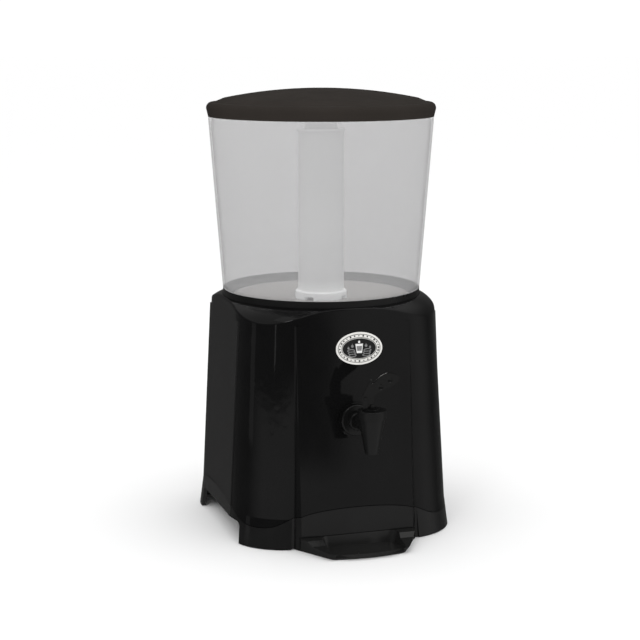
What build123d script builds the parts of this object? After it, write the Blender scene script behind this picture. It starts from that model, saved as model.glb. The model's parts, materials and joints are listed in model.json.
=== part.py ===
from build123d import *
from math import sin, cos, radians, hypot, sqrt
import os

os.makedirs("parts", exist_ok=True)

# ---------------------------------------------------------------- driving dimensions (mm)
# The origin is on the tank's axis at counter level. +Z is up and the tap faces -Y.

# base walls: a rounded square that narrows towards the top
WALL_HALF = 170.5        # half-width of the walls, carried down to the counter
WALL_LEAN = 0.048        # how much the half-width shrinks for each mm of height
CORNER_R = 88.0
FLARE_Z = 45.0           # below this height the feet flare out
FLARE_OUT = 3.0
FORM_TOP = 360.0
SHOULDER_EDGE_R = 3.0
COVER_WALL = 3.5
SKIRT_WALL = 6.0

# proud panel on each face, flush at its top and standing out most at the counter
PANEL_TOP = 325.0
FRONT_PROUD = 12.0
SIDE_PROUD = 1.3
PANEL_HALF = 86.3
PANEL_SIDE_SLOPE = 0.7
GROOVE_WIDE = 4.0        # grooves beside the panel, at the counter
GROOVE_DEEP = 2.0
GROOVE_TOP = 285.0

# wavy joint between the cover and the skirt: its height at points across one face
JOINT_WAVE = ((0, 59.0), (55, 56.5), (88, 50.0), (122, 34.5), (150, 31.0))
JOINT_GAP = 1.0
LIP_RISE = 8.0
LIP_PLAY = 0.35

# feet
FOOT_CLEAR = 1.0         # the rubber pads hold the mouldings this far off the counter
ARCH_Z = 33.0
ARCH_FRONT_Y = -116.0
ARCH_REAR_Y = 78.0
REAR_ARCH_HALF = 90.0
PAD_R = 10.0
PAD_X, PAD_Y = 104.0, 150.0
SCREW_XY = 133.0

# tank, its collar and the deck
TANK_R = 150.6
TANK_TAPER = 0.0757
TANK_WALL = 3.5
TANK_STEP_R = 147.6
COLLAR_R = 150.7
COLLAR_TOP = 360.0
COLLAR_SEAT = 341.0
TANK_SEAT = 345.0
TANK_TOP = 619.4         # ledge that the lid's rim stands on
RIM_TOP = 631.0
RIM_R = 168.4
FLOOR_Z = 342.5
SEAT_HOLE_R = 140.0
DECK_TOP = 322.0
DECK_THICK = 4.0
DECK_R = 128.0
SPIGOT_R = 8.9
SPIGOT_END = 303.0

# lid and ice core
LID_R = 172.5
LID_TOP = 661.0
CORE_R = 35.0
CORE_FOOT_R = 39.4
CORE_TOP = 596.0

# tap
TAP_Z = 188.0
SPOUT_Y = -239.0
SEAL_Y = -168.5          # vertical seat for the tap on the leaning panel
INNER_SEAT_Y = -158.0
SHANK_R = 9.0
SHANK_END = -140.0
BARB_END = -118.0
HOSE_END_Y = -138.5
FUNNEL_TOP = 207.0
FUNNEL_BOTTOM = 155.6
CAP_TOP = 219.0
CAP_R = 21.0
STEM_R = 3.0
HANDLE_TURN = 70.0       # the handle is stored turned this far to the right of straight ahead
PIVOT_BACK = 9.4         # the lever's pivot stands this far behind the spout's axis
PIVOT_Z = 234.5

# hose
HOSE_R = 8.0
HOSE_BORE_R = 6.05
BARB_R = 6.0
HOSE_TOP_Z = 292.0
HOSE_BEND = 85.0

# drip tray
TRAY_BACK_Y = -152.0
TRAY_HALF = 88.0
TRAY_FRONT_Y = -244.0
TRAY_RIM_BACK = 20.0
TRAY_PLAY = 0.7          # gap between the tray and its opening
TRAY_RIM_FRONT = 9.0


# ---------------------------------------------------------------- the base's outer form
def wall_half(z):
    """Half-width of the base walls at height z, without the feet's flare."""
    return WALL_HALF - WALL_LEAN * z


def panel_y(z, proud=FRONT_PROUD):
    """Distance of a face's proud panel from the tank's axis at height z."""
    return wall_half(z) + proud * (1 - z / PANEL_TOP)


def panel_outline(z, inset, proud):
    """Plan of one proud panel at height z, reaching back into the walls."""
    face = panel_y(z, proud) - inset
    half = PANEL_HALF - inset * (hypot(1, PANEL_SIDE_SLOPE) - PANEL_SIDE_SLOPE)
    depth = 40.0
    back_half = half + PANEL_SIDE_SLOPE * depth
    return [(-half, -face), (half, -face), (back_half, depth - face), (-back_half, depth - face)]


def base_form(inset, dome_drop):
    """The base as one solid, its walls moved in by inset and its shoulders lowered by dome_drop."""
    levels = [(-5.0, wall_half(-5.0) + FLARE_OUT), (FLARE_Z, wall_half(FLARE_Z)),
              (FORM_TOP, wall_half(FORM_TOP))]
    with BuildPart() as form:
        for z, half in levels:
            with BuildSketch(Plane.XY.offset(z)):
                RectangleRounded(2 * (half - inset), 2 * (half - inset), CORNER_R - inset)
        loft(ruled=True)
        # shoulders: a dome that drops away towards the corners
        with BuildSketch(Plane.XZ):
            with BuildLine():
                arc = ThreePointArc((130, 351 - dome_drop), (164, 345.6 - dome_drop),
                                    (185, 325 - dome_drop))
                Polyline(arc @ 1, (320, 325 - dome_drop), (320, -30),
                         (0, -30), (0, 351 - dome_drop), arc @ 0)
            make_face()
        revolve(axis=Axis.Z, mode=Mode.INTERSECT)
        if inset == 0:
            rim = form.edges().filter_by(lambda e: e.bounding_box().min.Z > 310)
            rim = rim.filter_by(lambda e: hypot(e.center().X, e.center().Y) > 150)
            fillet(rim, radius=SHOULDER_EDGE_R)
        for turn in (0, 90, 180, 270):
            proud = FRONT_PROUD if turn in (0, 180) else SIDE_PROUD
            for z in (-5.0, PANEL_TOP + 3):
                with BuildSketch(Plane.XY.rotated((0, 0, turn)).offset(z)):
                    with BuildLine():
                        Polyline(*panel_outline(z, inset, proud), close=True)
                    make_face()
            loft(ruled=True)
    return form.part


def panel_grooves():
    """Tapered grooves down both sides of the front and rear panels, widest at the bottom."""
    with BuildPart() as grooves:
        for turn in (0, 180):
            for side in (-1, 1):
                for z, wide, deep in ((-5.0, GROOVE_WIDE, GROOVE_DEEP), (GROOVE_TOP, 0.3, 0.2)):
                    wall = wall_half(z)
                    foot = PANEL_HALF + PANEL_SIDE_SLOPE * (panel_y(z) - wall)
                    with BuildSketch(Plane.XY.rotated((0, 0, turn)).offset(z)):
                        with BuildLine():
                            Polyline((side * (foot - 2), -wall - 3), (side * foot, deep - wall),
                                     (side * (foot + wide), deep - wall),
                                     (side * (foot + wide + 1.5), -wall - 3), close=True)
                        make_face()
                loft(ruled=True)
    return grooves.part


def below_joint(rise):
    """Everything under the wavy joint, raised by rise, on all four faces."""
    low, far = -60.0, 320.0
    with BuildPart() as below:
        for plane in (Plane.XZ, Plane.YZ):
            with BuildSketch(plane):
                with BuildLine():
                    wave = [(x, z + rise) for x, z in JOINT_WAVE]
                    Spline(*wave, tangents=[(1, 0), (1, 0)])
                    Polyline(wave[-1], (far, wave[-1][1]), (far, low), (0, low), wave[0])
                make_face()
                mirror(about=Plane.YZ)
            extrude(amount=far, both=True)
    return below.part


outer_form = base_form(0, 0) - panel_grooves()
cover_hollow = base_form(COVER_WALL, COVER_WALL)
skirt_hollow = base_form(SKIRT_WALL, 0)
lip_outside = base_form(COVER_WALL + LIP_PLAY, 0)
under_cover = below_joint(JOINT_GAP / 2)
under_skirt = below_joint(-JOINT_GAP / 2)
under_lip = below_joint(LIP_RISE)
corners = [(sx * SCREW_XY, sy * SCREW_XY) for sx in (-1, 1) for sy in (-1, 1)]

# ---------------------------------------------------------------- cover shell
TOP_UNDERSIDE = COLLAR_SEAT - COVER_WALL
COLLAR_POCKET_R = COLLAR_R + 0.6
BOSS_BOTTOM, BOSS_TOP = 62.0, 140.0

with BuildPart() as cover_shell:
    add(outer_form)
    add(under_cover, mode=Mode.SUBTRACT)
    add(split(cover_hollow, bisect_by=Plane.XY.offset(TOP_UNDERSIDE), keep=Keep.BOTTOM,
              mode=Mode.PRIVATE), mode=Mode.SUBTRACT)
    # pocket for the collar, and the opening under it
    with BuildSketch(Plane.XY.offset(COLLAR_SEAT)):
        Circle(COLLAR_POCKET_R)
    extrude(amount=30, mode=Mode.SUBTRACT)
    with BuildSketch(Plane.XY.offset(TOP_UNDERSIDE - 1)):
        Circle(SEAT_HOLE_R)
    extrude(amount=10, mode=Mode.SUBTRACT)
    # corner bosses that take the long cover screws
    with BuildSketch(Plane.XY.offset(BOSS_BOTTOM)):
        with Locations(*corners):
            Circle(6.5)
    extrude(amount=BOSS_TOP - BOSS_BOTTOM)
    with BuildSketch(Plane.XY.offset(BOSS_BOTTOM)):
        with Locations(*corners):
            Circle(2.05)
    extrude(amount=26, mode=Mode.SUBTRACT)
    # posts under the top that take the deck screws
    with BuildSketch(Plane.XY.offset(DECK_TOP)):
        with PolarLocations(148, 4, start_angle=45):
            Circle(5)
    extrude(amount=TOP_UNDERSIDE + 1 - DECK_TOP)
    with BuildSketch(Plane.XY.offset(DECK_TOP)):
        with PolarLocations(148, 4, start_angle=45):
            Circle(1.65)
    extrude(amount=11, mode=Mode.SUBTRACT)
    # vertical seat for the tap, outside and inside
    tap_plane = Plane(origin=(0, SEAL_Y, TAP_Z), x_dir=(1, 0, 0), z_dir=(0, 1, 0))
    with BuildSketch(tap_plane):
        Circle(26)
    extrude(amount=INNER_SEAT_Y - SEAL_Y)
    with BuildSketch(tap_plane):
        Circle(SHANK_R + 0.3)
    extrude(amount=30, mode=Mode.SUBTRACT)
cover_shell.part.label = "cover_shell"
export_step(cover_shell.part, "parts/cover_shell.step")

# ---------------------------------------------------------------- base skirt with four feet
with BuildPart() as base_skirt:
    add(outer_form)
    add(under_skirt, mode=Mode.INTERSECT)
    add(skirt_hollow, mode=Mode.SUBTRACT)
    # upstand lip inside the cover
    lip = (lip_outside & under_lip) - skirt_hollow - below_joint(-6)
    add(lip)
    # foot plates across the corners, and bosses for the cover screws
    plates = []
    for sx in (-1, 1):
        front = Pos(sx * 138, -149.5, 3.5) * Box(94, 67, 5)
        rear = Pos(sx * 138, 151.5, 3.5) * Box(94, 61, 5)
        plates += [front & outer_form, rear & outer_form]
    add(plates)
    with BuildSketch(Plane.XY.offset(FOOT_CLEAR)):
        with Locations(*corners):
            Circle(6.5)
    extrude(amount=56)
    with BuildSketch(Plane.XY.offset(FOOT_CLEAR)):
        with Locations(*corners):
            Circle(2.3)
    extrude(amount=60, mode=Mode.SUBTRACT)
    with BuildSketch(Plane.XY):
        with Locations(*corners):
            Circle(4.8)
    extrude(amount=20, mode=Mode.SUBTRACT)
    # pockets for the rubber pads
    with BuildSketch(Plane.XY):
        with GridLocations(2 * PAD_X, 2 * PAD_Y, 2, 2):
            Circle(PAD_R + 0.1)
    extrude(amount=3, mode=Mode.SUBTRACT)
    # the mouldings stop just above the counter
    with BuildSketch(Plane.XY.offset(-10)):
        Rectangle(500, 500)
    extrude(amount=10 + FOOT_CLEAR, mode=Mode.SUBTRACT)
    # arches between the feet: sides, rear, and the tray's opening in front
    with BuildSketch(Plane.YZ.offset(-250)):
        with BuildLine():
            FilletPolyline((ARCH_FRONT_Y - 6, -10), (ARCH_FRONT_Y, ARCH_Z), (ARCH_REAR_Y, ARCH_Z),
                           (ARCH_REAR_Y + 6, -10), radius=10, close=False)
            Line((ARCH_REAR_Y + 6, -10), (ARCH_FRONT_Y - 6, -10))
        make_face()
    extrude(amount=500, mode=Mode.SUBTRACT)
    with BuildSketch(Plane.XZ):
        with BuildLine():
            FilletPolyline((-REAR_ARCH_HALF - 6, -10), (-REAR_ARCH_HALF, ARCH_Z),
                           (REAR_ARCH_HALF, ARCH_Z), (REAR_ARCH_HALF + 6, -10), radius=10,
                           close=False)
            Line((REAR_ARCH_HALF + 6, -10), (-REAR_ARCH_HALF - 6, -10))
        make_face()
    extrude(amount=-250, mode=Mode.SUBTRACT)
    with Locations((0, -125, TRAY_RIM_BACK + TRAY_PLAY - 17)):
        Box(2 * (TRAY_HALF + TRAY_PLAY), 250, 34, mode=Mode.SUBTRACT)
base_skirt.part.label = "base_skirt"
export_step(base_skirt.part, "parts/base_skirt.step")

with BuildPart() as rubber_feet:
    with BuildSketch():
        with GridLocations(2 * PAD_X, 2 * PAD_Y, 2, 2):
            Circle(PAD_R)
    extrude(amount=3)
    fillet(rubber_feet.faces().sort_by(Axis.Z)[0:4].edges(), radius=0.8)
rubber_feet.part.label = "rubber_feet"
export_step(rubber_feet.part, "parts/rubber_feet.step")

with BuildPart() as cover_screws:
    with BuildSketch(Plane.XY.offset(17)):
        with Locations(*corners):
            Circle(4.2)
            RegularPolygon(1.8, 6, mode=Mode.SUBTRACT)
    extrude(amount=3)
    with BuildSketch(Plane.XY.offset(19)):
        with Locations(*corners):
            Circle(2.0)
    extrude(amount=66)
cover_screws.part.label = "cover_screws"
export_step(cover_screws.part, "parts/cover_screws.step")

# ---------------------------------------------------------------- deck under the tank
SOCKET_HOLE_R = 14.2
with BuildPart() as support_deck:
    with BuildSketch(Plane.XY.offset(DECK_TOP - DECK_THICK)):
        Circle(DECK_R)
        with PolarLocations(148, 4, start_angle=45):
            Circle(9)
        for turn in (45, 135):
            SlotCenterToCenter(2 * 148, 18, rotation=turn)
        Circle(SOCKET_HOLE_R, mode=Mode.SUBTRACT)
        with PolarLocations(148, 4, start_angle=45):
            Circle(1.9, mode=Mode.SUBTRACT)
    extrude(amount=DECK_THICK)
    # stiffening rings under the deck
    with BuildSketch(Plane.XY.offset(DECK_TOP - DECK_THICK - 10)):
        Circle(DECK_R)
        Circle(DECK_R - 3, mode=Mode.SUBTRACT)
        Circle(46)
        Circle(43, mode=Mode.SUBTRACT)
    extrude(amount=10)
support_deck.part.label = "support_deck"
export_step(support_deck.part, "parts/support_deck.step")

with BuildPart() as deck_screws:
    with BuildSketch(Plane.XY.offset(DECK_TOP - DECK_THICK - 2.5)):
        with PolarLocations(148, 4, start_angle=45):
            Circle(3.6)
            RegularPolygon(1.5, 6, mode=Mode.SUBTRACT)
    extrude(amount=2.5)
    with BuildSketch(Plane.XY.offset(DECK_TOP - DECK_THICK - 0.8)):
        with PolarLocations(148, 4, start_angle=45):
            Circle(1.6)
    extrude(amount=14)
deck_screws.part.label = "deck_screws"
export_step(deck_screws.part, "parts/deck_screws.step")

with BuildPart() as collar_ring:
    with BuildSketch(Plane.XZ):
        with BuildLine():
            Polyline((137, COLLAR_SEAT), (COLLAR_R, COLLAR_SEAT), (COLLAR_R, COLLAR_TOP),
                     (148.0, COLLAR_TOP), (148.0, TANK_SEAT - 1), (137, TANK_SEAT - 1), close=True)
        make_face()
    revolve(axis=Axis.Z)
    fillet(collar_ring.edges().filter_by(GeomType.CIRCLE).group_by(Axis.Z)[-1], radius=0.7)
collar_ring.part.label = "collar_ring"
export_step(collar_ring.part, "parts/collar_ring.step")

with BuildPart() as seat_ring:
    with BuildSketch(Plane.XZ):
        with Locations((143, TANK_SEAT - 0.5)):
            Rectangle(7, 1)
    revolve(axis=Axis.Z)
seat_ring.part.label = "seat_ring"
export_step(seat_ring.part, "parts/seat_ring.step")

# ---------------------------------------------------------------- outlet socket and hose
with BuildPart() as outlet_socket:
    with BuildSketch(Plane.XZ):
        with BuildLine():
            Polyline((9.1, 325), (22, 325), (22, DECK_TOP), (14, DECK_TOP), (14, 296), (BARB_R, 293),
                     (BARB_R, 274), (5.4, 272), (4.2, 272), (4.2, 299), (9.1, 299), close=True)
        make_face()
    revolve(axis=Axis.Z)
    chamfer(outlet_socket.edges().filter_by(GeomType.CIRCLE).group_by(Axis.Z)[-1].sort_by(
        SortBy.RADIUS)[0], length=1.5)
outlet_socket.part.label = "outlet_socket"
export_step(outlet_socket.part, "parts/outlet_socket.step")

with BuildPart() as socket_nut:
    with BuildSketch(Plane.XY.offset(DECK_TOP - DECK_THICK - 7)):
        RegularPolygon(20, 6)
        Circle(14.05, mode=Mode.SUBTRACT)
    extrude(amount=7)
    chamfer(socket_nut.edges().group_by(Axis.Z)[0].filter_by(GeomType.LINE), length=0.8)
socket_nut.part.label = "socket_nut"
export_step(socket_nut.part, "parts/socket_nut.step")

HOSE_ROUTE = [(0, 0, HOSE_TOP_Z), (0, 0, TAP_Z), (0, HOSE_END_Y, TAP_Z)]
with BuildPart() as feed_hose:
    with BuildLine() as hose_line:
        FilletPolyline(*HOSE_ROUTE, radius=HOSE_BEND)
    with BuildSketch(Plane(origin=HOSE_ROUTE[0], x_dir=(1, 0, 0), z_dir=(0, 0, -1))) as hose_section:
        Circle(HOSE_R)
        Circle(HOSE_BORE_R, mode=Mode.SUBTRACT)
    sweep(path=hose_line.wires()[0])
feed_hose.part.label = "feed_hose"
export_step(feed_hose.part, "parts/feed_hose.step")
print("feed_hose: length", round(hose_line.wires()[0].length, 1), "volume over section times length",
      round(feed_hose.part.volume / (hose_section.sketch.area * hose_line.wires()[0].length), 4))

CLAMP_WIDE = 7.0
clamp_planes = [Plane(origin=(0, 0, 287), x_dir=(1, 0, 0), z_dir=(0, 0, -1)),
                Plane(origin=(0, -134, TAP_Z), x_dir=(1, 0, 0), z_dir=(0, 1, 0))]
with BuildPart() as hose_clamps:
    for plane in clamp_planes:
        with BuildSketch(plane):
            Circle(HOSE_R + 1.2)
            with Locations((HOSE_R + 3.4, 0)):
                RectangleRounded(6.5, 7, 0.8)
            Circle(HOSE_R, mode=Mode.SUBTRACT)
        extrude(amount=CLAMP_WIDE)
hose_clamps.part.label = "hose_clamps"
export_step(hose_clamps.part, "parts/hose_clamps.step")

# ---------------------------------------------------------------- tap, fixed parts
def facing_back(y):
    """Plane across the tap's shank at y, seen from the front, growing towards the tank."""
    return Plane(origin=(0, y, TAP_Z), x_dir=(1, 0, 0), z_dir=(0, 1, 0))


with BuildPart() as tap_seal:
    with BuildSketch(facing_back(SEAL_Y - 1.5)):
        Circle(21)
        Circle(SHANK_R + 0.1, mode=Mode.SUBTRACT)
    extrude(amount=1.5)
tap_seal.part.label = "tap_seal"
export_step(tap_seal.part, "parts/tap_seal.step")

ESCUTCHEON_Y = SEAL_Y - 5.5
with BuildPart() as tap_escutcheon:
    with BuildSketch(facing_back(ESCUTCHEON_Y)):
        Circle(23.3)
    extrude(amount=4)
    fillet(tap_escutcheon.faces().sort_by(Axis.Y)[0].edges(), radius=2.4)
    with BuildSketch(facing_back(ESCUTCHEON_Y)):
        Circle(SHANK_R + 0.1)
    extrude(amount=6, mode=Mode.SUBTRACT)
tap_escutcheon.part.label = "tap_escutcheon"
export_step(tap_escutcheon.part, "parts/tap_escutcheon.step")

CHAMBER_R = 12.0
CHAMBER_FLOOR = 180.0
SEAT_Z = 176.0
with BuildPart() as tap_body:
    with BuildSketch(Plane.XY.offset(FUNNEL_BOTTOM)):
        with Locations((0, SPOUT_Y)):
            Circle(9.8)
    with BuildSketch(Plane.XY.offset(FUNNEL_TOP)):
        with Locations((0, SPOUT_Y)):
            Circle(19.6)
    loft()
    # hub and shank
    with BuildSketch(facing_back(SPOUT_Y)):
        Circle(9.5)
    extrude(amount=ESCUTCHEON_Y - SPOUT_Y)
    with BuildSketch(facing_back(ESCUTCHEON_Y - 9)):
        Circle(13.8)
    extrude(amount=9)
    fillet(tap_body.faces().filter_by(Axis.Y).sort_by(Axis.Y)[0].edges().sort_by(
        SortBy.RADIUS)[-1], radius=2.5)
    with BuildSketch(facing_back(ESCUTCHEON_Y)):
        Circle(SHANK_R)
    extrude(amount=SHANK_END - ESCUTCHEON_Y)
    with BuildSketch(facing_back(SHANK_END)):
        Circle(BARB_R)
    extrude(amount=BARB_END - SHANK_END)
    # waterway, valve chamber and spout
    with BuildSketch(facing_back(SPOUT_Y)):
        Circle(4.2)
    extrude(amount=BARB_END - SPOUT_Y, mode=Mode.SUBTRACT)
    for low, high, r in ((CHAMBER_FLOOR, FUNNEL_TOP, CHAMBER_R), (SEAT_Z, CHAMBER_FLOOR, 4.6),
                         (FUNNEL_BOTTOM, SEAT_Z, 8.2)):
        with BuildSketch(Plane.XY.offset(low)):
            with Locations((0, SPOUT_Y)):
                Circle(r)
        extrude(amount=high - low, mode=Mode.SUBTRACT)
tap_body.part.label = "tap_body"
export_step(tap_body.part, "parts/tap_body.step")

NECK_R = 4.6
NECK_TOP = 222.4
with BuildPart() as bonnet_cap:
    with BuildSketch(Plane.XY.offset(FUNNEL_TOP)):
        with Locations((0, SPOUT_Y)):
            Circle(CAP_R)
    extrude(amount=CAP_TOP - FUNNEL_TOP)
    fillet(bonnet_cap.faces().sort_by(Axis.Z)[-1].edges(), radius=1.2)
    with BuildSketch(Plane.XY.offset(CAP_TOP - 1)):
        with Locations((0, SPOUT_Y)):
            Circle(NECK_R)
    extrude(amount=NECK_TOP - CAP_TOP + 1)
    with BuildSketch(Plane.XY.offset(FUNNEL_TOP)):
        with Locations((0, SPOUT_Y)):
            Circle(CHAMBER_R)
    extrude(amount=CAP_TOP - FUNNEL_TOP - 4, mode=Mode.SUBTRACT)
    with BuildSketch(Plane.XY.offset(FUNNEL_TOP)):
        with Locations((0, SPOUT_Y)):
            Circle(STEM_R + 0.08)
    extrude(amount=20, mode=Mode.SUBTRACT)
bonnet_cap.part.label = "bonnet_cap"
export_step(bonnet_cap.part, "parts/bonnet_cap.step")

with BuildPart() as stem_seal:
    with BuildSketch(Plane.XY.offset(CAP_TOP - 6)):
        with Locations((0, SPOUT_Y)):
            Circle(CHAMBER_R - 0.1)
            Circle(STEM_R + 0.08, mode=Mode.SUBTRACT)
    extrude(amount=2)
stem_seal.part.label = "stem_seal"
export_step(stem_seal.part, "parts/stem_seal.step")

CLIP_Z = CAP_TOP + 2.1
with BuildPart() as bracket_clip:
    with BuildSketch(Plane.XY.offset(CLIP_Z)):
        with Locations((0, SPOUT_Y)):
            Circle(6.0)
            Circle(NECK_R, mode=Mode.SUBTRACT)
    extrude(amount=0.8)
bracket_clip.part.label = "bracket_clip"
export_step(bracket_clip.part, "parts/bracket_clip.step")

with BuildPart() as tap_back_washer:
    with BuildSketch(facing_back(INNER_SEAT_Y)):
        Circle(19)
        Circle(SHANK_R + 0.1, mode=Mode.SUBTRACT)
    extrude(amount=2)
tap_back_washer.part.label = "tap_back_washer"
export_step(tap_back_washer.part, "parts/tap_back_washer.step")

with BuildPart() as shank_nut:
    with BuildSketch(facing_back(INNER_SEAT_Y + 2)):
        RegularPolygon(15.5, 6)
        Circle(SHANK_R + 0.05, mode=Mode.SUBTRACT)
    extrude(amount=8)
    chamfer(shank_nut.edges().group_by(Axis.Y)[-1].filter_by(GeomType.LINE), length=0.8)
shank_nut.part.label = "shank_nut"
export_step(shank_nut.part, "parts/shank_nut.step")

# ---------------------------------------------------------------- tap, moving parts
# Pressing the handle down pushes the stem down and opens the valve; the spring lifts it again.
STEM_TOP = 227.0
with BuildPart() as valve_stem:
    for low, high, r in ((SEAT_Z - 9.5, SEAT_Z - 8, 4.5), (SEAT_Z - 8, STEM_TOP, STEM_R),
                         (FUNNEL_TOP - 2, FUNNEL_TOP - 0.5, 8.5)):
        with BuildSketch(Plane.XY.offset(low)):
            with Locations((0, SPOUT_Y)):
                Circle(r)
        extrude(amount=high - low)
    fillet(valve_stem.faces().sort_by(Axis.Z)[-1].edges(), radius=0.8)
valve_stem.part.label = "valve_stem"
export_step(valve_stem.part, "parts/valve_stem.step")

# the plug closes the valve from below
with BuildPart() as valve_plug:
    with BuildSketch(Plane.XY.offset(SEAT_Z - 8)):
        with Locations((0, SPOUT_Y)):
            Circle(6.4)
            Circle(STEM_R, mode=Mode.SUBTRACT)
    extrude(amount=8)
    chamfer(valve_plug.edges().group_by(Axis.Z)[0].sort_by(SortBy.RADIUS)[-1], length=1)
valve_plug.part.label = "valve_plug"
export_step(valve_plug.part, "parts/valve_plug.step")

SPRING_WIRE_R = 0.8
SPRING_R = 6.2
SPRING_LOW = CHAMBER_FLOOR + SPRING_WIRE_R + 0.05
SPRING_HIGH = FUNNEL_TOP - 2 - SPRING_WIRE_R - 0.05
with BuildPart() as valve_spring:
    with BuildLine() as spring_line:
        Helix(pitch=(SPRING_HIGH - SPRING_LOW) / 6, height=SPRING_HIGH - SPRING_LOW,
              radius=SPRING_R, center=(0, SPOUT_Y, SPRING_LOW))
    with BuildSketch(Plane(origin=spring_line.line @ 0, z_dir=spring_line.line % 0)):
        Circle(SPRING_WIRE_R)
    sweep(path=spring_line.wires()[0], is_frenet=True)
valve_spring.part.label = "valve_spring"
export_step(valve_spring.part, "parts/valve_spring.step")

# handle directions: ahead is level along the handle, across is along its pin
turn = radians(HANDLE_TURN)
ahead = Vector(sin(turn), -cos(turn), 0)
across = Vector(cos(turn), sin(turn), 0)
pivot = Vector(0, SPOUT_Y, PIVOT_Z) - ahead * PIVOT_BACK
side_view = Plane(origin=pivot, x_dir=ahead, z_dir=-across)
BRACKET_BOTTOM = CAP_TOP + 0.1
BRACKET_THICK = 1.8
CHEEK_IN, CHEEK_OUT, CHEEK_WIDE = 3.0, 5.0, 6.4

with BuildPart() as lever_bracket:
    with BuildSketch(Plane.XY.offset(BRACKET_BOTTOM)):
        with Locations((0, SPOUT_Y)):
            Circle(13)
            Circle(NECK_R + 0.06, mode=Mode.SUBTRACT)
    extrude(amount=BRACKET_THICK)
    with BuildSketch(side_view.offset(-CHEEK_OUT)):
        with Locations((0, (BRACKET_BOTTOM + 1 - PIVOT_Z) / 2)):
            Rectangle(CHEEK_WIDE, PIVOT_Z - BRACKET_BOTTOM - 1)
        Circle(CHEEK_WIDE / 2)
    extrude(amount=2 * CHEEK_OUT)
    with BuildSketch(side_view.offset(-CHEEK_IN)):
        with Locations((0, 5)):
            Rectangle(20, 10 + 2 * (PIVOT_Z - BRACKET_BOTTOM - BRACKET_THICK))
    extrude(amount=2 * CHEEK_IN, mode=Mode.SUBTRACT)
    with BuildSketch(side_view.offset(-CHEEK_OUT)):
        Circle(1.5)
    extrude(amount=2 * CHEEK_OUT, mode=Mode.SUBTRACT)
lever_bracket.part.label = "lever_bracket"
export_step(lever_bracket.part, "parts/lever_bracket.step")

with BuildPart() as handle_pin:
    with BuildSketch(side_view.offset(-CHEEK_OUT - 0.4)):
        Circle(1.5)
    extrude(amount=2 * CHEEK_OUT + 0.8)
    chamfer(handle_pin.edges().filter_by(GeomType.CIRCLE), length=0.3)
handle_pin.part.label = "handle_pin"
export_step(handle_pin.part, "parts/handle_pin.step")

# a flat leaf-shaped blade on edge, with a nose that presses the stem and two finger dimples a side
BLADE_THICK = 5.4
TIP = (47.6, 31.2)
DIMPLES = ((21.0, 18.0), (33.8, 28.4))
DIMPLE_R = 7.4
DIMPLE_DEEP = 1.3
with BuildPart() as handle:
    with BuildSketch(side_view.offset(-BLADE_THICK / 2)):
        with BuildLine():
            heel = ThreePointArc((-4.2, 3.7), (-5.6, 0), (-2.8, -4.85))
            nose = Polyline(heel @ 1, (3.4, -4.85), (6.2, -7.1), (11.5, -7.1), (12.4, 5.6))
            under = Spline(nose @ 1, (21, 11.4), (33.8, 18.2), (45, 25.6), TIP,
                           tangents=[(1, 0.75), (0.1, 1)])
            Spline(under @ 1, (44.3, 35.4), (34.5, 38), (21, 33.2), (8.6, 22), heel @ 0,
                   tangents=[(0.05, 1), (-0.45, -1)])
        make_face()
    extrude(amount=BLADE_THICK)
    for side in (-1, 1):
        for along, up in DIMPLES:
            dimple = Pos(along, up, side * (BLADE_THICK / 2 + DIMPLE_R - DIMPLE_DEEP))
            with Locations(side_view.location * dimple):
                Sphere(DIMPLE_R, mode=Mode.SUBTRACT)
    with BuildSketch(side_view.offset(-BLADE_THICK)):
        Circle(1.55)
    extrude(amount=2 * BLADE_THICK, mode=Mode.SUBTRACT)
handle.part.label = "handle"
export_step(handle.part, "parts/handle.step")
print("handle pivot (m)", [round(v / 1000, 6) for v in pivot],
      "tilt axis", [round(v, 5) for v in across])

# ---------------------------------------------------------------- badge
BADGE_X, BADGE_Z = 8.0, 291.5
panel_slope = (panel_y(0) - panel_y(PANEL_TOP)) / PANEL_TOP
badge_plane = Plane(origin=(BADGE_X, -panel_y(BADGE_Z), BADGE_Z), x_dir=(1, 0, 0),
                    z_dir=(0, -1, panel_slope))
with BuildPart() as badge:
    with BuildSketch(badge_plane.offset(0.02)):
        Ellipse(35.4, 23.8)
    extrude(amount=0.9)
    with BuildSketch(badge_plane.offset(0.5)):
        Ellipse(35.4, 23.8)
        Ellipse(33.0, 21.4, mode=Mode.SUBTRACT)
    extrude(amount=0.8)
badge.part.label = "badge"
export_step(badge.part, "parts/badge.step")

# ---------------------------------------------------------------- tank
OUTER_TOP_R = TANK_R + TANK_TAPER * (TANK_TOP - COLLAR_TOP)
STEP_Z = COLLAR_TOP + 0.2
with BuildPart() as tank:
    with BuildSketch(Plane.XZ):
        with BuildLine():
            Polyline((TANK_STEP_R, TANK_SEAT), (TANK_STEP_R, STEP_Z), (TANK_R, STEP_Z),
                     (OUTER_TOP_R, TANK_TOP), (RIM_R, TANK_TOP), (RIM_R, RIM_TOP),
                     (RIM_R - TANK_WALL, RIM_TOP), (RIM_R - TANK_WALL, TANK_TOP - 4),
                     (OUTER_TOP_R - TANK_WALL - 1, TANK_TOP - 12),
                     (TANK_R - TANK_WALL + 0.3, STEP_Z + 4), (TANK_STEP_R - TANK_WALL, STEP_Z),
                     (TANK_STEP_R - TANK_WALL, 352), (141, 348.4), (48, FLOOR_Z),
                     (9.3, FLOOR_Z), (9.3, FLOOR_Z - 4), (48, FLOOR_Z - 4), (134, 344.2),
                     (136.5, TANK_SEAT), close=True)
        make_face()
    revolve(axis=Axis.Z)
    rim = tank.edges().filter_by(GeomType.CIRCLE).group_by(Axis.Z)[-1]
    fillet(rim, radius=1)
tank.part.label = "tank"
export_step(tank.part, "parts/tank.step")

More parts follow.
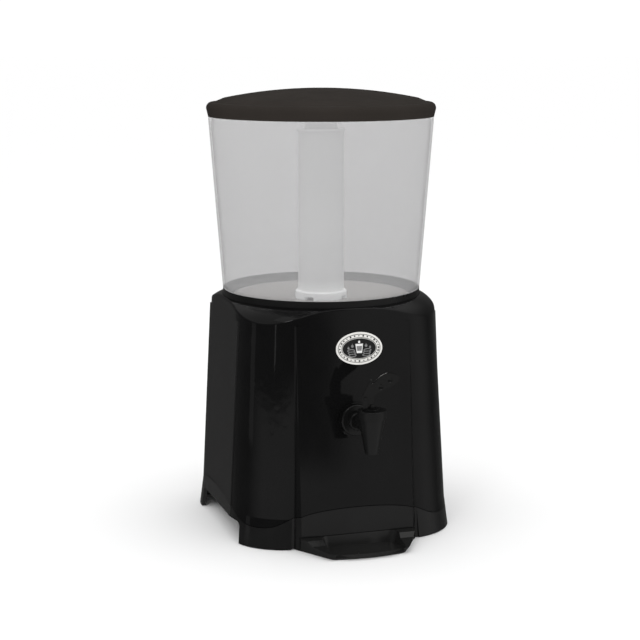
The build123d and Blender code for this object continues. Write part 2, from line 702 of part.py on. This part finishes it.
OUTLET_FLANGE_Z = FLOOR_Z + 1.5
RING_GROOVES = (309.0, 316.0)
with BuildPart() as tank_outlet:
    with BuildSketch(Plane.XZ):
        with BuildLine():
            Polyline((6, SPIGOT_END), (SPIGOT_R - 0.8, SPIGOT_END), (SPIGOT_R, SPIGOT_END + 1.5),
                     (SPIGOT_R, OUTLET_FLANGE_Z), (16, OUTLET_FLANGE_Z),
                     (16, OUTLET_FLANGE_Z + 2.5), (6, OUTLET_FLANGE_Z + 2.5), close=True)
        make_face()
        for z in RING_GROOVES:
            with Locations((SPIGOT_R - 0.35, z)):
                Rectangle(2.7, 2.6, mode=Mode.SUBTRACT)
    revolve(axis=Axis.Z)
tank_outlet.part.label = "tank_outlet"
export_step(tank_outlet.part, "parts/tank_outlet.step")

with BuildPart() as spigot_o_rings:
    for z in RING_GROOVES:
        with BuildSketch(Plane.XZ):
            with Locations((8.15, z)):
                Circle(0.9)
        revolve(axis=Axis.Z)
spigot_o_rings.part.label = "spigot_o_rings"
export_step(spigot_o_rings.part, "parts/spigot_o_rings.step")

with BuildPart() as outlet_washer:
    with BuildSketch(Plane.XY.offset(FLOOR_Z)):
        Circle(18)
        Circle(SPIGOT_R + 0.1, mode=Mode.SUBTRACT)
    extrude(amount=1.5)
outlet_washer.part.label = "outlet_washer"
export_step(outlet_washer.part, "parts/outlet_washer.step")

with BuildPart() as outlet_nut:
    with BuildSketch(Plane.XY.offset(FLOOR_Z - 10.5)):
        RegularPolygon(16, 6)
        Circle(SPIGOT_R + 0.05, mode=Mode.SUBTRACT)
    extrude(amount=6.5)
    chamfer(outlet_nut.edges().group_by(Axis.Z)[0].filter_by(GeomType.LINE), length=0.8)
outlet_nut.part.label = "outlet_nut"
export_step(outlet_nut.part, "parts/outlet_nut.step")

STRAINER_Z = OUTLET_FLANGE_Z + 2.5
with BuildPart() as outlet_strainer:
    with BuildSketch(Plane.XY.offset(STRAINER_Z)):
        Circle(13)
        Circle(1.1, mode=Mode.SUBTRACT)
        for ring_r, count in ((3.6, 6), (7.0, 12), (10.4, 18)):
            with PolarLocations(ring_r, count):
                Circle(1.1, mode=Mode.SUBTRACT)
    extrude(amount=1.2)
outlet_strainer.part.label = "outlet_strainer"
export_step(outlet_strainer.part, "parts/outlet_strainer.step")

# ---------------------------------------------------------------- ice core
FOOT_HIGH = 12.0
CORE_WALL = 3.0
CORE_FLOOR = FLOOR_Z + 15.0
PLUG_R = CORE_R - CORE_WALL - 0.15
with BuildPart() as ice_core:
    with BuildSketch(Plane.XZ):
        with BuildLine():
            Polyline((30, FLOOR_Z), (CORE_FOOT_R, FLOOR_Z), (CORE_FOOT_R, FLOOR_Z + FOOT_HIGH - 1.5),
                     (CORE_FOOT_R - 1.5, FLOOR_Z + FOOT_HIGH), (CORE_R, FLOOR_Z + FOOT_HIGH),
                     (CORE_R, CORE_TOP), (CORE_R - CORE_WALL, CORE_TOP),
                     (CORE_R - CORE_WALL, CORE_FLOOR), (0, CORE_FLOOR), (0, CORE_FLOOR - 3.5),
                     (30, CORE_FLOOR - 3.5), close=True)
        make_face()
    revolve(axis=Axis.Z)
    # notches that let the drink in under the foot
    with BuildSketch(Plane.XY.offset(FLOOR_Z)):
        for turn in (45, 135):
            Rectangle(100, 14, rotation=turn)
    extrude(amount=5, mode=Mode.SUBTRACT)
ice_core.part.label = "ice_core"
export_step(ice_core.part, "parts/ice_core.step")

with BuildPart() as core_cap:
    with BuildSketch(Plane.XZ):
        with BuildLine():
            Polyline((0, CORE_TOP - 12), (PLUG_R - 1, CORE_TOP - 12), (PLUG_R, CORE_TOP - 11),
                     (PLUG_R, CORE_TOP - 7.3), (PLUG_R - 1.7, CORE_TOP - 7.3),
                     (PLUG_R - 1.7, CORE_TOP - 4.7), (PLUG_R, CORE_TOP - 4.7), (PLUG_R, CORE_TOP),
                     (CORE_R + 1.5, CORE_TOP), (CORE_R + 1.5, CORE_TOP + 3), (CORE_R, CORE_TOP + 4),
                     (0, CORE_TOP + 4), close=True)
        make_face()
    revolve(axis=Axis.Z)
    # hollow plug, and a grip across the top
    with BuildSketch(Plane.XY.offset(CORE_TOP - 12)):
        Circle(PLUG_R - 4)
    extrude(amount=12, mode=Mode.SUBTRACT)
    with BuildSketch(Plane.XY.offset(CORE_TOP + 4)):
        SlotOverall(52, 8)
    extrude(amount=10)
    fillet(core_cap.faces().sort_by(Axis.Z)[-1].edges(), radius=2)
core_cap.part.label = "core_cap"
export_step(core_cap.part, "parts/core_cap.step")

with BuildPart() as core_o_ring:
    with BuildSketch(Plane.XZ):
        with Locations((PLUG_R - 0.82, CORE_TOP - 6)):
            Circle(0.85)
    revolve(axis=Axis.Z)
core_o_ring.part.label = "core_o_ring"
export_step(core_o_ring.part, "parts/core_o_ring.step")

# ---------------------------------------------------------------- lid
LID_WALL = 3.0
DOME_EDGE_R, DOME_EDGE_Z = 147.0, 646.3
DOME_RISE = LID_TOP - DOME_EDGE_Z
DOME_R = (DOME_EDGE_R ** 2 + DOME_RISE ** 2) / (2 * DOME_RISE)


def dome_z(across_r, lower):
    """Height of the lid's dome at a distance from the axis, or of a sphere lower down."""
    return LID_TOP - DOME_R + sqrt((DOME_R - lower) ** 2 - across_r ** 2)


with BuildPart() as lid:
    with BuildSketch(Plane.XZ):
        with BuildLine():
            band = Polyline((RIM_R + 0.5, TANK_TOP), (OUTER_TOP_R - 0.1, TANK_TOP),
                            (LID_R - 0.1, 629))
            edge = ThreePointArc(band @ 1, (LID_R - 0.9, 636.5), (167.5, 640))
            ledge = Polyline(edge @ 1, (161.5, 640.4), (DOME_EDGE_R, DOME_EDGE_Z))
            dome = ThreePointArc(ledge @ 1, (78, dome_z(78, 0)), (0, LID_TOP))
            under = Line(dome @ 1, (0, LID_TOP - LID_WALL))
            inner = ThreePointArc(under @ 1, (78, dome_z(78, LID_WALL)),
                                  (DOME_EDGE_R - 1, dome_z(DOME_EDGE_R - 1, LID_WALL)))
            Polyline(inner @ 1, (160.5, 637.3), (164.5, 634), (RIM_R + 0.5, 632.5), band @ 0)
        make_face()
    revolve(axis=Axis.Z)
lid.part.label = "lid"
export_step(lid.part, "parts/lid.step")

# ---------------------------------------------------------------- drip tray
TRAY_HIGH = 26.0
# for the foot and the rim: height, bow of the front, front corners, waist and corner radius
TRAY_PLANS = ((0, -237, 55, -230, -178, 12), (TRAY_HIGH, -255, 67, -248, -186, 14))

with BuildPart() as drip_tray:
    for z, bow_y, corner_x, corner_y, waist_y, corner_r in TRAY_PLANS:
        with BuildSketch(Plane.XY.offset(z)) as tray_plan:
            with BuildLine():
                bow = ThreePointArc((-corner_x, corner_y), (0, bow_y), (corner_x, corner_y))
                Polyline(bow @ 1, (TRAY_HALF, waist_y), (TRAY_HALF, TRAY_BACK_Y),
                         (-TRAY_HALF, TRAY_BACK_Y), (-TRAY_HALF, waist_y), bow @ 0)
            make_face()
            fillet(tray_plan.vertices().group_by(Axis.Y)[0], radius=corner_r)
    loft(ruled=True)
    # sloping rim, higher at the back
    with BuildSketch(Plane.YZ):
        with BuildLine():
            Polyline((-270, TRAY_RIM_FRONT - 2.2), (TRAY_FRONT_Y, TRAY_RIM_FRONT),
                     (-205, 14), (-196, 19.5), (-186, TRAY_RIM_BACK), (TRAY_BACK_Y + 5, TRAY_RIM_BACK),
                     (TRAY_BACK_Y + 5, 60), (-270, 60), close=True)
        make_face()
    extrude(amount=150, both=True, mode=Mode.SUBTRACT)
    # basin
    with BuildSketch(Plane.XY.offset(3.6)) as basin_floor:
        with Locations((0, -211)):
            Rectangle(108, 53)
        fillet(basin_floor.vertices(), radius=9)
    with BuildSketch(Plane.XY.offset(TRAY_HIGH)) as basin_rim:
        with Locations((0, -212.5)):
            Rectangle(122, 63)
        fillet(basin_rim.vertices(), radius=12)
    loft(ruled=True, mode=Mode.SUBTRACT)
    # hollow behind, so that only a tongue and the back wall go under the skirt
    with BuildSketch(Plane.XY.offset(4)):
        with Locations((0, -150)):
            Rectangle(300, 50)
    extrude(amount=40, mode=Mode.SUBTRACT)
drip_tray.part.label = "drip_tray"
export_step(drip_tray.part, "parts/drip_tray.step")
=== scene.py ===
import bpy
import json
from math import atan, cos, pi, sin
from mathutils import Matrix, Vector


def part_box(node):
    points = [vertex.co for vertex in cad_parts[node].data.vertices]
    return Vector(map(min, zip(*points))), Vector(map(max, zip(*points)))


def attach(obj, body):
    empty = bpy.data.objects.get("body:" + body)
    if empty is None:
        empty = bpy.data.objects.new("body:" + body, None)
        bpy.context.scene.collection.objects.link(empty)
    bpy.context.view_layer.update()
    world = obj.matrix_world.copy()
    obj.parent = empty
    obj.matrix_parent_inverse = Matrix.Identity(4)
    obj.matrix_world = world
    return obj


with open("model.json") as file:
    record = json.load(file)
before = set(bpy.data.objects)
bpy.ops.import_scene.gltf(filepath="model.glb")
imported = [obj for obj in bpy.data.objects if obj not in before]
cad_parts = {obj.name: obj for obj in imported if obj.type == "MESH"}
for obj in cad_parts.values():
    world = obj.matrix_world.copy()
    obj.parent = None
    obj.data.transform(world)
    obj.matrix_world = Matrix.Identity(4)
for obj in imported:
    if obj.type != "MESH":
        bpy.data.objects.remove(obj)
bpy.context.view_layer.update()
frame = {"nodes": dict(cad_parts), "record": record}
nodes = frame["nodes"]
scene = bpy.context.scene
scene.view_settings.view_transform = "Standard"
scene.view_settings.look = "None"

# camera
CAMERA_PLACE = (-0.7193, -2.2813, 0.7422)
CAMERA_DIP = 0.18027          # looks down by this much (radians)
CAMERA_HEADING = -0.30544     # and this much to the right of straight ahead
CAMERA_LENS = 88.61
CAMERA_SHIFT = -0.0017

# air round the dispenser: white for the eye, a dim room for what shines
AIR_LIGHT = 1.075
AIR_GLOSS = 0.10              # brightness of the room all round
FLOOR_GLOSS = 0.60            # more from the floor and the pale wall in front
CEILING_GLOSS = 0.55          # more from the ceiling

# clear tank: two faces of a wall let through a little under half
WALL_DARK = (0.380, 0.378, 0.382)
WALL_LIGHT = (0.396, 0.394, 0.396)
WALL_VEIL = (0.330, 0.342)    # cover of one face, thin and thick haze
EDGE_VEIL = 0.14              # more cover where the wall is seen edge on
FLOOR_VEIL = 0.66             # more cover in the thick floor, which is then solid
FLOOR_BEIGE = (0.415, 0.400, 0.385, 1)
TANK_FLOOR_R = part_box("collar_ring")[1][0] - 0.0155

# ice core: part of its height, and how white it is painted there; whiter at the foot and greyer
# above is painted light and shade
CORE_LOW, CORE_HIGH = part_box("ice_core")[0][2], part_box("ice_core")[1][2]
CORE_PAINTED_SHADE_STOPS = ((0.0, 0.98), (0.06, 0.98), (0.13, 0.70), (0.32, 0.61), (0.70, 0.535), (1.0, 0.52))

# emblem printed on the badge
BADGE_LOW, BADGE_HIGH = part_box("badge")
BADGE_LEAN = 0.085            # the badge leans back this much of its height
PRINT_LIFT = 0.0009           # the print lies on the badge's sunk face
PRINT_THICK = 0.0003
FIELD = (0.0255, 0.0145)      # half-width and half-height of the dark field
INNER_LINE = (0.0270, 0.0160, 0.0007)
OUTER_LINE = (0.0324, 0.0208, 0.0006)
DOT_OVAL = (0.0297, 0.01845)  # the dots stand on this oval
DOTS = 28
DOT_R = (0.00130, 0.00080, 0.00105)
WAVE = (0.0060, 0.0024, 0.0011)
WAVE_GAP = 0.0034


# ------------------------------------------------------------ nodes shared by air and finishes
def ramp_between(tree, value, start, end):
    """0 before start, 1 past end and smooth between them."""
    ramp = tree.nodes.new("ShaderNodeMapRange")
    ramp.interpolation_type = "SMOOTHSTEP"
    ramp.inputs["From Min"].default_value = start
    ramp.inputs["From Max"].default_value = end
    tree.links.new(value, ramp.inputs["Value"])
    return ramp.outputs["Result"]


def math_of(tree, operation, *values):
    """One Math node; each value is a socket or a number."""
    step = tree.nodes.new("ShaderNodeMath")
    step.operation = operation
    for entry, value in zip(step.inputs, values):
        if isinstance(value, (int, float)):
            entry.default_value = value
        else:
            tree.links.new(value, entry)
    return step.outputs["Value"]


def add_part(tree, first, second, factor):
    """first + second * factor."""
    return math_of(tree, "MULTIPLY_ADD", second, factor, first)


def split_axes(tree, place):
    split = tree.nodes.new("ShaderNodeSeparateXYZ")
    tree.links.new(place, split.inputs["Vector"])
    return split.outputs


# ------------------------------------------------------------ camera, floor and studio light
def set_camera():
    lens = bpy.data.cameras.new("camera")
    lens.lens = CAMERA_LENS
    lens.sensor_width = 36
    lens.shift_x = CAMERA_SHIFT
    lens.clip_end = 50
    camera = bpy.data.objects.new("camera", lens)
    camera.location = CAMERA_PLACE
    camera.rotation_euler = (pi / 2 - CAMERA_DIP, 0, CAMERA_HEADING)
    scene.collection.objects.link(camera)
    scene.camera = camera


def soft_box(name, place, aim, wide, high, power):
    light = bpy.data.lights.new(name, "AREA")
    light.shape = "RECTANGLE"
    light.size = wide
    light.size_y = high
    light.energy = power
    lamp = bpy.data.objects.new(name, light)
    lamp.location = place
    lamp.rotation_euler = (Vector(aim) - Vector(place)).to_track_quat("-Z", "Y").to_euler()
    scene.collection.objects.link(lamp)


def set_floor():
    """White paper that only the eye and soft light see; the air stands in for its shine."""
    bpy.ops.mesh.primitive_plane_add(size=60, location=(0, 20, 0))
    floor = bpy.context.object
    floor.name = "studio_floor"
    floor.visible_glossy = False
    paper, _, shader = new_finish("studio_paper")
    socket(shader, "Base Color", (0.93, 0.93, 0.93, 1))
    socket(shader, "Roughness", 0.9)
    socket(shader, "Specular IOR Level", 0.0)
    floor.data.materials.append(paper)


def set_air():
    """White air for the eye and for soft light; what shines mirrors a dim room."""
    world = bpy.data.worlds.new("studio_air")
    world.use_nodes = True
    tree = world.node_tree
    white = tree.nodes["Background"]
    white.inputs["Color"].default_value = (1, 1, 1, 1)
    white.inputs["Strength"].default_value = AIR_LIGHT
    coord = tree.nodes.new("ShaderNodeTexCoord")
    toward = split_axes(tree, coord.outputs["Generated"])
    in_front = ramp_between(tree, toward["Y"], 0.2, -0.5)
    low_down = ramp_between(tree, toward["Z"], -0.100, -0.122)
    to_the_right = ramp_between(tree, toward["X"], 0.297, 0.309)
    overhead = ramp_between(tree, toward["Z"], 0.35, 0.8)
    pale = math_of(tree, "MAXIMUM", low_down, to_the_right)
    pale = math_of(tree, "MULTIPLY", pale, in_front)
    room = math_of(tree, "MULTIPLY_ADD", pale, FLOOR_GLOSS, AIR_GLOSS)
    room = add_part(tree, room, overhead, CEILING_GLOSS)
    dim = tree.nodes.new("ShaderNodeBackground")
    dim.inputs["Color"].default_value = (1, 0.99, 0.98, 1)
    tree.links.new(room, dim.inputs["Strength"])
    ray = tree.nodes.new("ShaderNodeLightPath")
    mix = tree.nodes.new("ShaderNodeMixShader")
    tree.links.new(ray.outputs["Is Glossy Ray"], mix.inputs["Fac"])
    tree.links.new(white.outputs["Background"], mix.inputs[1])
    tree.links.new(dim.outputs["Background"], mix.inputs[2])
    tree.links.new(mix.outputs["Shader"], tree.nodes["World Output"].inputs["Surface"])
    scene.world = world


def set_studio():
    set_floor()
    set_air()
    soft_box("overhead_box", (0.2, -0.4, 2.6), (0, 0, 0.3), 2.4, 2.4, 8)
    soft_box("left_strip", (-2.4, 0.05, 0.35), (0, 0, 0.25), 0.40, 1.1, 0.45)
    soft_box("front_left_strip", (-2.0, -1.9, 0.45), (0, 0, 0.25), 0.10, 0.8, 0.35)
    soft_box("front_left_box", (-1.2, -1.5, 2.0), (0, -0.1, 0.35), 0.5, 0.5, 5)


# ------------------------------------------------------------ parts of a finish
def new_finish(name):
    finish = bpy.data.materials.new(name)
    finish.use_nodes = True
    tree = finish.node_tree
    return finish, tree, tree.nodes["Principled BSDF"]


def socket(shader, name, value):
    shader.inputs[name].default_value = value


def object_place(tree, stretch=(1, 1, 1)):
    """Object coordinates, stretched, for the patterns of one finish."""
    coord = tree.nodes.new("ShaderNodeTexCoord")
    place = tree.nodes.new("ShaderNodeMapping")
    place.inputs["Scale"].default_value = stretch
    tree.links.new(coord.outputs["Object"], place.inputs["Vector"])
    return place.outputs["Vector"]


def noise(tree, place, scale, detail=3.0, rough=0.55):
    grain = tree.nodes.new("ShaderNodeTexNoise")
    grain.inputs["Scale"].default_value = scale
    grain.inputs["Detail"].default_value = detail
    grain.inputs["Roughness"].default_value = rough
    tree.links.new(place, grain.inputs["Vector"])
    return grain.outputs["Fac"]


def spread(tree, value, low_in, high_in, low, high):
    """Map a pattern from one range to another."""
    remap = tree.nodes.new("ShaderNodeMapRange")
    ends = {"From Min": low_in, "From Max": high_in, "To Min": low, "To Max": high}
    for name, number in ends.items():
        remap.inputs[name].default_value = number
    tree.links.new(value, remap.inputs["Value"])
    return remap.outputs["Result"]


def colour_between(tree, value, dark, light):
    ramp = tree.nodes.new("ShaderNodeValToRGB")
    ramp.color_ramp.elements[0].color = (*dark, 1)
    ramp.color_ramp.elements[1].color = (*light, 1)
    tree.links.new(value, ramp.inputs["Fac"])
    return ramp.outputs["Color"]


def uneven_gloss(tree, shader, pattern, smooth, rough, low_in=0.3, high_in=0.7):
    tree.links.new(spread(tree, pattern, low_in, high_in, smooth, rough),
                   shader.inputs["Roughness"])


def bumps(tree, shader, height, strength, distance):
    bump = tree.nodes.new("ShaderNodeBump")
    bump.inputs["Strength"].default_value = strength
    bump.inputs["Distance"].default_value = distance
    tree.links.new(height, bump.inputs["Height"])
    tree.links.new(bump.outputs["Normal"], shader.inputs["Normal"])


# ------------------------------------------------------------ finishes
def moulded_plastic(name, dark, light, rough, gloss, texture=0.06):
    """Injection-moulded plastic: faint flow shading, uneven gloss and a fine skin."""
    finish, tree, shader = new_finish(name)
    place = object_place(tree)
    flow = spread(tree, noise(tree, place, 9, 4), 0.3, 0.7, 0, 1)
    tree.links.new(colour_between(tree, flow, dark, light), shader.inputs["Base Color"])
    smear = noise(tree, object_place(tree, (1, 1, 0.35)), 26, 5, 0.6)
    uneven_gloss(tree, shader, smear, *rough, high_in=0.75)
    socket(shader, "Specular IOR Level", gloss)
    bumps(tree, shader, noise(tree, place, 900, 2), texture, 0.0004)
    return finish


def rubber(name, dark, light):
    finish, tree, shader = new_finish(name)
    place = object_place(tree)
    tree.links.new(colour_between(tree, noise(tree, place, 60, 4), dark, light),
                   shader.inputs["Base Color"])
    uneven_gloss(tree, shader, noise(tree, place, 240, 3), 0.6, 0.85)
    socket(shader, "Specular IOR Level", 0.3)
    bumps(tree, shader, noise(tree, place, 1400, 2), 0.15, 0.0003)
    return finish


def steel(name):
    """Drawn stainless steel, streaked round its axis."""
    finish, tree, shader = new_finish(name)
    place = object_place(tree, (1, 1, 12))
    tree.links.new(colour_between(tree, noise(tree, place, 300, 3), (0.42, 0.42, 0.43),
                                  (0.62, 0.62, 0.62)), shader.inputs["Base Color"])
    uneven_gloss(tree, shader, noise(tree, place, 500, 2), 0.22, 0.38)
    socket(shader, "Metallic", 1.0)
    bumps(tree, shader, noise(tree, place, 900, 2), 0.08, 0.0002)
    return finish


def printed_ink(name, dark, light):
    """Pad-printed ink: slightly uneven cover and a fine grain."""
    finish, tree, shader = new_finish(name)
    place = object_place(tree)
    cover = spread(tree, noise(tree, place, 700, 3), 0.3, 0.7, 0, 1)
    tree.links.new(colour_between(tree, cover, dark, light), shader.inputs["Base Color"])
    uneven_gloss(tree, shader, noise(tree, place, 300, 2), 0.35, 0.5)
    socket(shader, "Specular IOR Level", 0.08)
    bumps(tree, shader, noise(tree, place, 2500, 2), 0.1, 0.0001)
    return finish


def smoked_tank():
    """Clear plastic with a milky grey veil and fine haze; the thick floor is a solid beige."""
    finish, tree, shader = new_finish("smoked_tank_plastic")
    place = object_place(tree)
    wall = colour_between(tree, noise(tree, place, 5, 3), WALL_DARK, WALL_LIGHT)
    from_axis = tree.nodes.new("ShaderNodeVectorMath")
    from_axis.operation = "LENGTH"
    tree.links.new(object_place(tree, (1, 1, 0)), from_axis.inputs[0])
    in_floor = ramp_between(tree, from_axis.outputs["Value"], TANK_FLOOR_R, TANK_FLOOR_R - 0.001)
    tint = tree.nodes.new("ShaderNodeMix")
    tint.data_type = "RGBA"
    tree.links.new(in_floor, tint.inputs["Factor"])
    tree.links.new(wall, tint.inputs["A"])
    tint.inputs["B"].default_value = FLOOR_BEIGE
    tree.links.new(tint.outputs["Result"], shader.inputs["Base Color"])
    haze = noise(tree, object_place(tree, (1, 1, 0.5)), 14, 5, 0.6)
    veil = spread(tree, haze, 0.25, 0.75, *WALL_VEIL)
    edge = tree.nodes.new("ShaderNodeLayerWeight")
    edge.inputs["Blend"].default_value = 0.5
    edge_on = ramp_between(tree, edge.outputs["Facing"], 0.77, 0.80)
    veil = add_part(tree, veil, edge_on, EDGE_VEIL)
    veil = add_part(tree, veil, in_floor, FLOOR_VEIL)
    tree.links.new(veil, shader.inputs["Alpha"])
    uneven_gloss(tree, shader, noise(tree, place, 40, 3), 0.16, 0.24)
    socket(shader, "Specular IOR Level", 0.06)
    finish.surface_render_method = "BLENDED"
    return finish


def white_core():
    """White plastic with painted light and shade: whiter at its foot, greyer towards the top of
    the column.
    """
    finish, tree, shader = new_finish("white_core_painted_shade")
    place = object_place(tree)
    # painted light and shade: the base colour follows height, whiter at the foot and greyer
    # above
    height = spread(tree, split_axes(tree, place)["Z"], CORE_LOW, CORE_HIGH, 0, 1)
    painted_shade_height = add_part(tree, height, noise(tree, place, 30, 4), 0.02)
    ramp = tree.nodes.new("ShaderNodeValToRGB")
    for stop, (at, white) in enumerate(CORE_PAINTED_SHADE_STOPS):
        if stop > 1:
            ramp.color_ramp.elements.new(at)
        ramp.color_ramp.elements[stop].position = at
        ramp.color_ramp.elements[stop].color = (white, white, white, 1)
    tree.links.new(painted_shade_height, ramp.inputs["Fac"])
    tree.links.new(ramp.outputs["Color"], shader.inputs["Base Color"])
    uneven_gloss(tree, shader, noise(tree, place, 120, 3), 0.4, 0.55)
    socket(shader, "Specular IOR Level", 0.02)
    bumps(tree, shader, noise(tree, place, 900, 2), 0.05, 0.0003)
    return finish


def make_finishes():
    """One finish for each material slot of the record."""
    return {
        "black_cover": moulded_plastic("gloss_black_cover", (0.0030, 0.0030, 0.0031),
                                       (0.0048, 0.0048, 0.0049), (0.04, 0.08), 0.16, 0.01),
        "black_skirt": moulded_plastic("gloss_black_skirt", (0.0068, 0.0068, 0.0068),
                                       (0.0100, 0.0100, 0.0100), (0.10, 0.15), 0.2, 0.02),
        "black_collar": moulded_plastic("satin_black_collar", (0.004, 0.004, 0.004),
                                        (0.007, 0.007, 0.007), (0.25, 0.4), 0.15),
        "black_tap": moulded_plastic("satin_black_tap", (0.004, 0.004, 0.004),
                                     (0.006, 0.006, 0.006), (0.16, 0.26), 0.2),
        "grey_fittings": moulded_plastic("grey_nylon_fitting", (0.40, 0.41, 0.42),
                                         (0.47, 0.48, 0.49), (0.4, 0.55), 0.4),
        "dark_rubber": rubber("black_nitrile_rubber", (0.014, 0.014, 0.014), (0.03, 0.03, 0.03)),
        "silicone": rubber("milky_silicone_hose", (0.66, 0.66, 0.63), (0.76, 0.76, 0.73)),
        "steel": steel("stainless_steel_wire"),
        "valve_rubber": rubber("red_brown_valve_rubber", (0.36, 0.10, 0.05), (0.46, 0.15, 0.08)),
        "badge_print": moulded_plastic("printed_white_badge", (0.74, 0.73, 0.70),
                                       (0.82, 0.81, 0.78), (0.4, 0.5), 0.3),
        "tank_clear": smoked_tank(),
        "lid_brown": moulded_plastic("dark_brown_lid", (0.0245, 0.0208, 0.0180),
                                     (0.0295, 0.0250, 0.0218), (0.5, 0.65), 0.03, 0.12),
        "core_white": white_core(),
    }


def finish_cad_nodes():
    by_slot = make_finishes()
    # the tray is moulded apart from the base and is duller; its black is painted lighter than
    # the skirt's, a painted sheen for what its upward faces reflect
    by_node = {"drip_tray": moulded_plastic("black_tray_painted_sheen", (0.0105, 0.0105, 0.0103),
                                            (0.0150, 0.0150, 0.0146), (0.16, 0.30), 0.32)}
    for part in frame["record"]["subparts"]:
        node = nodes[part["node"]]
        node.data.materials.clear()
        node.data.materials.append(by_node.get(part["node"], by_slot[part["material_slot"]]))
    # light scatters in the wall, so neither the tank nor the lid shades what is inside
    for name in ("tank", "lid"):
        nodes[name].visible_shadow = False
        nodes[name].visible_diffuse = False


# ------------------------------------------------------------ emblem printed on the badge
def start_clean():
    if bpy.context.mode != "OBJECT":
        bpy.ops.object.mode_set(mode="OBJECT")
    bpy.ops.object.select_all(action="DESELECT")


def pick(piece, kind, wanted):
    """Go into edit mode with only the wanted faces (FACE) or points (VERT) selected."""
    start_clean()
    piece.select_set(True)
    bpy.context.view_layer.objects.active = piece
    bpy.ops.object.mode_set(mode="EDIT")
    bpy.ops.mesh.select_mode(type=kind)
    bpy.ops.mesh.select_all(action="DESELECT")
    bpy.ops.object.mode_set(mode="OBJECT")
    for item in piece.data.polygons if kind == "FACE" else piece.data.vertices:
        item.select = wanted(item)
    bpy.ops.object.mode_set(mode="EDIT")


def pick_all(piece):
    pick(piece, "FACE", lambda face: True)


def oval(wide, high, lift=0.0, sides=72):
    """Flat oval print, lying in its own XY plane until it is put on the badge."""
    start_clean()
    bpy.ops.mesh.primitive_cylinder_add(vertices=sides, radius=1, depth=PRINT_THICK,
                                        location=(0, 0, lift + PRINT_THICK / 2))
    disc = bpy.context.object
    pick_all(disc)
    bpy.ops.transform.resize(value=(wide, high, 1), center_override=(0, 0, 0))
    bpy.ops.object.mode_set(mode="OBJECT")
    return disc


def oval_line(wide, high, line, lift=0.0):
    """Printed oval line: both faces of an oval inset, and a hole bridged through them."""
    ring = oval(wide, high, lift)
    pick(ring, "FACE", lambda face: abs(face.normal.z) > 0.9)
    bpy.ops.mesh.inset(thickness=line)
    bpy.ops.mesh.bridge_edge_loops()
    bpy.ops.mesh.select_all(action="SELECT")
    bpy.ops.mesh.normals_make_consistent(inside=False)
    bpy.ops.object.mode_set(mode="OBJECT")
    return ring


def slide(piece, across, up):
    pick_all(piece)
    bpy.ops.transform.translate(value=(across, up, 0))
    bpy.ops.object.mode_set(mode="OBJECT")


def dot(across, up, radius):
    spot = oval(radius, radius, sides=20)
    slide(spot, across, up)
    return spot


def drop(across, up, size, lift):
    """A round drop drawn out to a point at its top."""
    bead = oval(size, size, lift, sides=24)
    tip = max(point.co.y for point in bead.data.vertices)
    pick(bead, "VERT", lambda point: point.co.y > tip - 1e-5)
    bpy.ops.transform.translate(value=(0, size * 1.1, 0))
    bpy.ops.object.mode_set(mode="OBJECT")
    slide(bead, across, up)
    return bead


def cup(half_top, half_foot, high, lift):
    """Side view of a tumbler, wider at its rim."""
    start_clean()
    middle = lift + PRINT_THICK / 2
    bpy.ops.mesh.primitive_cube_add(size=1, location=(0, 0, middle))
    tumbler = bpy.context.object
    pick_all(tumbler)
    bpy.ops.transform.resize(value=(2 * half_foot, high, PRINT_THICK),
                             center_override=(0, 0, middle))
    bpy.ops.object.mode_set(mode="OBJECT")
    pick(tumbler, "FACE", lambda face: face.normal.y > 0.9)
    bpy.ops.transform.resize(value=(half_top / half_foot, 1, 1), center_override=(0, 0, 0))
    bpy.ops.object.mode_set(mode="OBJECT")
    return tumbler


def put_on_badge(shapes, name, finish):
    """Join the shapes of one print and lay them on the leaning badge."""
    start_clean()
    for shape in shapes:
        shape.select_set(True)
    bpy.context.view_layer.objects.active = shapes[0]
    if len(shapes) > 1:
        bpy.ops.object.join()
    print_layer = bpy.context.object
    print_layer.name = name
    print_layer.data.materials.clear()
    print_layer.data.materials.append(finish)
    bpy.ops.object.transform_apply(location=True, rotation=True, scale=True)
    middle = (BADGE_LOW + BADGE_HIGH) / 2
    size = BADGE_HIGH - BADGE_LOW
    plate_back = middle.y + (size.y - size.z * BADGE_LEAN) / 2
    print_layer.rotation_euler = (pi / 2 - atan(BADGE_LEAN), 0, 0)
    print_layer.location = (middle.x, plate_back - PRINT_LIFT, middle.z)
    bpy.ops.object.transform_apply(location=True, rotation=True, scale=True)
    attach(print_layer, "base")


def make_emblem():
    """Dots round a dark field with a cup, drops and waves, each colour its own print."""
    ink = printed_ink("dark_badge_ink", (0.010, 0.010, 0.010), (0.020, 0.020, 0.020))
    grey = printed_ink("grey_badge_ink", (0.16, 0.16, 0.16), (0.26, 0.26, 0.26))
    pale = printed_ink("pale_badge_ink", (0.72, 0.72, 0.71), (0.82, 0.82, 0.81))
    over = PRINT_THICK
    put_on_badge([oval(*FIELD)], "emblem_field", ink)
    marks = [oval_line(*INNER_LINE), oval_line(*OUTER_LINE)]
    for step in range(DOTS):
        turn = 2 * pi * step / DOTS
        marks.append(dot(DOT_OVAL[0] * cos(turn), DOT_OVAL[1] * sin(turn), DOT_R[step % 3]))
    put_on_badge(marks, "emblem_dots", ink)
    waves = []
    for side in (-1, 1):
        for row in range(3):
            wave = oval_line(*WAVE, over)
            slide(wave, side * (0.0125 - 0.001 * row), -0.0030 - WAVE_GAP * row)
            waves.append(wave)
        waves.append(drop(side * 0.0105, 0.0036, 0.0020, over))
        waves.append(drop(side * 0.0165, 0.0010, 0.0015, over))
    put_on_badge(waves, "emblem_waves", grey)
    glass = [cup(0.0058, 0.0040, 0.0135, over), drop(0.0, 0.0093, 0.0016, over)]
    put_on_badge(glass, "emblem_cup", pale)
    put_on_badge([cup(0.0043, 0.0032, 0.0070, 2 * over)], "emblem_drink", grey)


set_camera()
set_studio()
finish_cad_nodes()
make_emblem()
